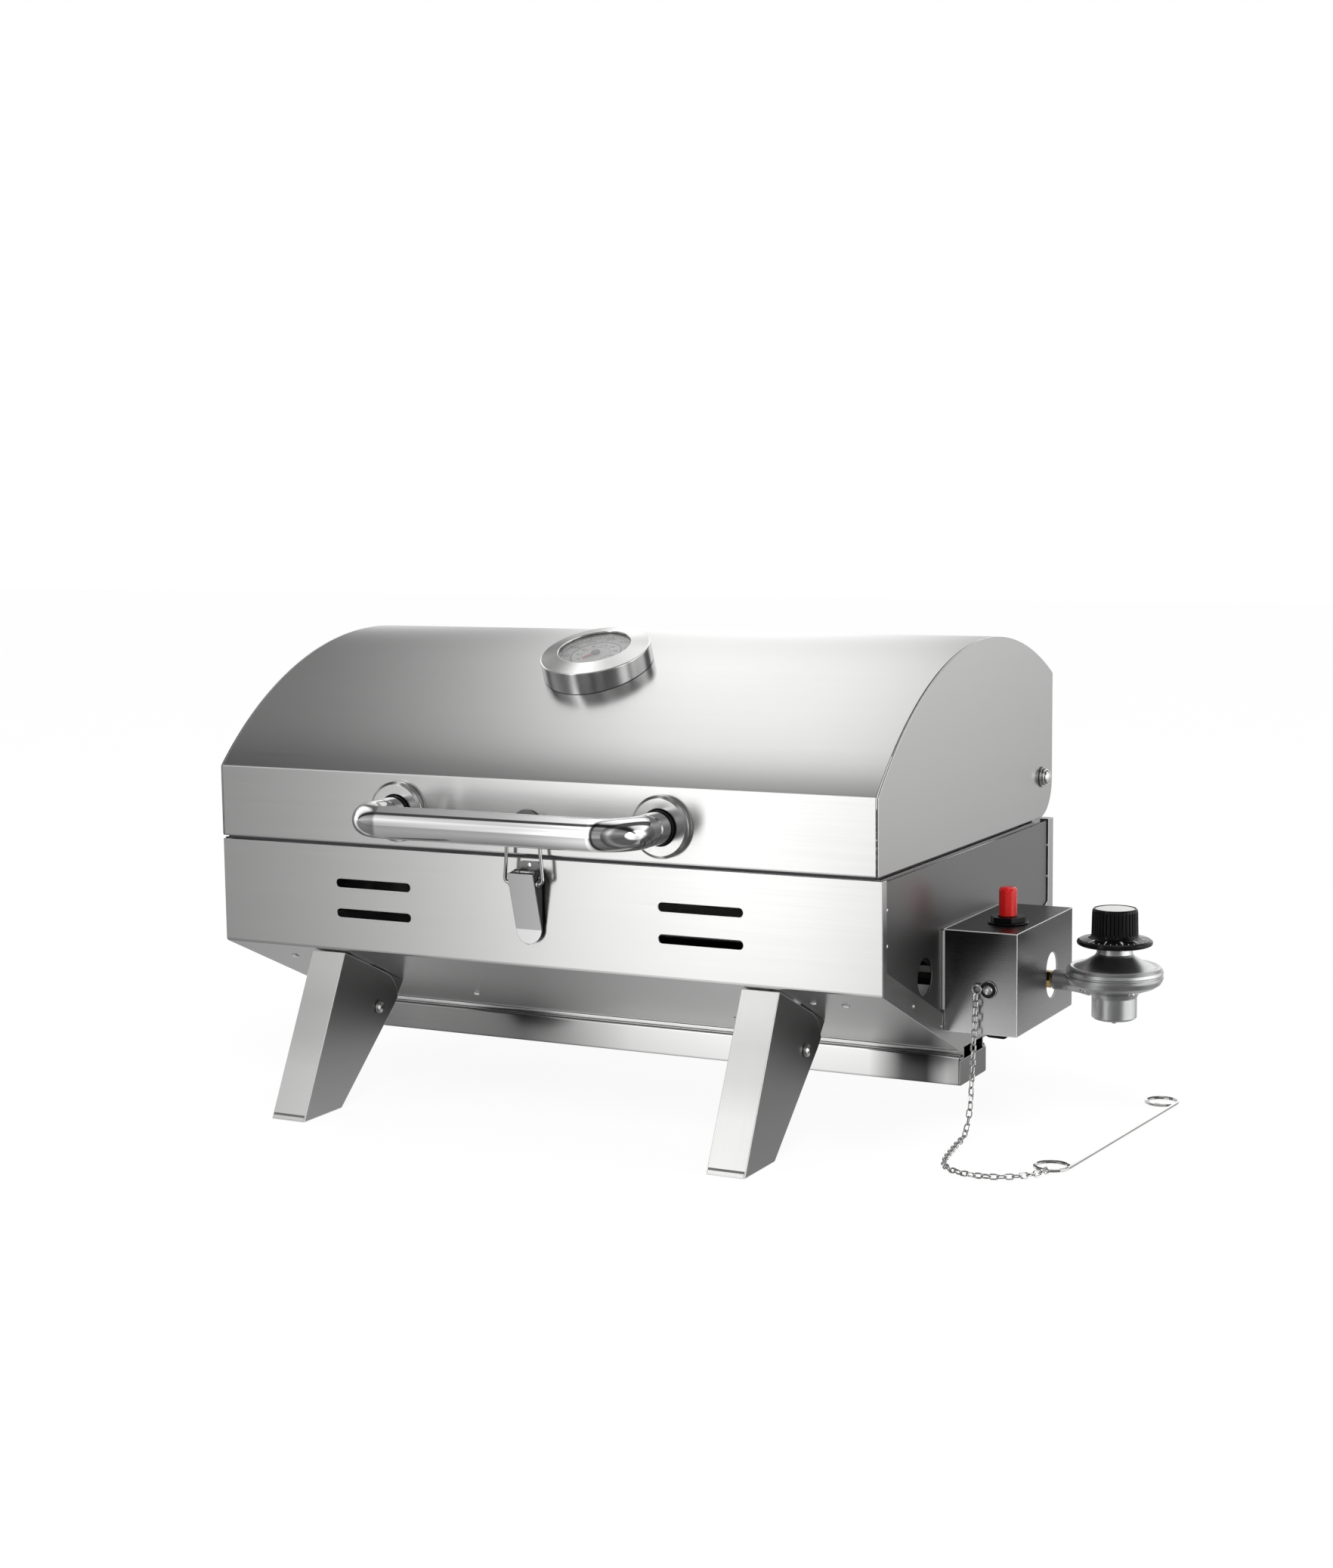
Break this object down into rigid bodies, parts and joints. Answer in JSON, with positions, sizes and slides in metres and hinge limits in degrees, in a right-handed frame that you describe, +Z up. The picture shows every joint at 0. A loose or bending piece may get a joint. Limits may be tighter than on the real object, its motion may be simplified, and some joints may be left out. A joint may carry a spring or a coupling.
{
  "type": "portable tabletop gas grill",
  "caption": "Tabletop gas grill: steel firebox with hinged arched lid, bar handle, toggle latch, folding legs, grease tray, side igniter box and cylinder regulator.",
  "frame": {"origin": "on the ground under the middle of the grill's box, without the loose chain and match holder", "axes": "+X along the grill to the regulator end, +Y to the back (the hinge side), +Z up"},
  "size_m": [0.7057, 0.496, 0.368],
  "materials": {
    "stainless": "brushed stainless sheet",
    "stainless_inner": "mill-finish stainless",
    "chrome": "polished tube",
    "bolt_steel": "bright plated steel",
    "grate_steel": "steel bars",
    "die_cast": "die-cast, slightly grainy",
    "brass": "machined",
    "black_plastic": "moulded",
    "red_plastic": "moulded",
    "ceramic": "glazed",
    "dial_white": "printed dial",
    "needle_red": "painted",
    "glass": "clear"
  },
  "bodies": {
    "root": {"firebox_shell": "stainless", "end_panel_left": "stainless", "end_panel_right": "stainless", "hinge_bracket_left": "stainless_inner", "hinge_bracket_right": "stainless_inner", "hinge_bolt_left": "bolt_steel", "hinge_bolt_right": "bolt_steel", "cooking_grate": "grate_steel", "grate_ledge_front": "stainless_inner", "grate_ledge_rear": "stainless_inner", "flame_tamer": "stainless_inner", "tamer_ledge_left": "stainless_inner", "tamer_ledge_right": "stainless_inner", "burner_tube": "stainless_inner", "burner_bracket": "stainless_inner", "tray_rail_front": "stainless_inner", "tray_rail_rear": "stainless_inner", "latch_base": "stainless", "leg_bracket_front_left": "stainless_inner", "leg_bracket_front_right": "stainless_inner", "leg_bracket_rear_left": "stainless_inner", "leg_bracket_rear_right": "stainless_inner", "leg_bolt_front_left": "bolt_steel", "leg_bolt_front_right": "bolt_steel", "leg_bolt_rear_left": "bolt_steel", "leg_bolt_rear_right": "bolt_steel", "valve_box": "stainless", "igniter_body": "black_plastic", "igniter_nut": "black_plastic", "igniter_electrode": "ceramic", "igniter_wire": "black_plastic", "gas_fitting": "brass", "regulator_body": "die_cast", "chain_screw": "bolt_steel", "match_chain": "bolt_steel", "match_holder": "bolt_steel"},
    "lid": {"lid_shell": "stainless", "lid_end_left": "stainless", "lid_end_right": "stainless", "lid_handle": "chrome", "handle_bezel_left": "stainless", "handle_bezel_right": "stainless", "handle_screw_left": "bolt_steel", "handle_screw_right": "bolt_steel", "thermometer_housing": "stainless", "thermometer_dial": "dial_white", "thermometer_glass": "glass", "thermometer_stem": "bolt_steel", "latch_keeper": "stainless"},
    "needle": {"thermometer_needle": "needle_red"},
    "latch_lever": {"latch_lever": "stainless"},
    "latch_bail": {"latch_bail": "bolt_steel"},
    "leg_front_left": {"leg_front_left": "stainless"},
    "leg_front_right": {"leg_front_right": "stainless"},
    "leg_rear_left": {"leg_rear_left": "stainless"},
    "leg_rear_right": {"leg_rear_right": "stainless"},
    "tray": {"grease_tray": "stainless"},
    "igniter_button": {"igniter_button": "red_plastic"},
    "regulator_knob": {"regulator_knob": "black_plastic"}
  },
  "joints": [
    {"name": "lid_hinge", "type": "hinge", "parent": "root", "child": "lid", "pos_m": [-0.06785, 0.1684, 0.2405], "axis": [-1, 0, 0], "range_deg": [0, 100]},
    {"name": "needle_turn", "type": "hinge", "parent": "lid", "child": "needle", "pos_m": [-0.06785, -0.0652, 0.33907], "axis": [0, 0.3654, -0.9309], "range_deg": [0, 285], "stiffness_Nm_per_rad": 0.004},
    {"name": "latch_lever_hinge", "type": "hinge", "parent": "root", "child": "latch_lever", "pos_m": [-0.06785, -0.181, 0.192], "axis": [-1, 0, 0], "range_deg": [0, 100]},
    {"name": "latch_bail_hinge", "type": "hinge", "parent": "latch_lever", "child": "latch_bail", "pos_m": [-0.06785, -0.1838, 0.188], "axis": [-1, 0, 0], "range_deg": [-100, 0]},
    {"name": "leg_front_left_fold", "type": "hinge", "parent": "root", "child": "leg_front_left", "pos_m": [-0.25285, -0.1255, 0.0693], "axis": [1, 0, 0], "range_deg": [0, 110]},
    {"name": "leg_front_right_fold", "type": "hinge", "parent": "root", "child": "leg_front_right", "pos_m": [0.11715, -0.1255, 0.0693], "axis": [1, 0, 0], "range_deg": [0, 110]},
    {"name": "leg_rear_left_fold", "type": "hinge", "parent": "root", "child": "leg_rear_left", "pos_m": [-0.25285, 0.1435, 0.0693], "axis": [-1, 0, 0], "range_deg": [0, 110]},
    {"name": "leg_rear_right_fold", "type": "hinge", "parent": "root", "child": "leg_rear_right", "pos_m": [0.11715, 0.1435, 0.0693], "axis": [-1, 0, 0], "range_deg": [0, 110]},
    {"name": "tray_slide", "type": "slide", "parent": "root", "child": "tray", "axis": [1, 0, 0], "range_m": [0, 0.45]},
    {"name": "igniter_press", "type": "slide", "parent": "root", "child": "igniter_button", "axis": [0, 0, -1], "range_m": [0, 0.008], "stiffness_N_per_m": 500, "springref_m": -0.002},
    {"name": "regulator_turn", "type": "hinge", "parent": "root", "child": "regulator_knob", "pos_m": [0.31685, 0.022, 0.1372], "axis": [0, 0, 1], "range_deg": [0, 270]}
  ],
  "couplings": [
    {"joint": "latch_bail_hinge", "follows": "latch_lever_hinge", "ratio": -1}
  ]
}
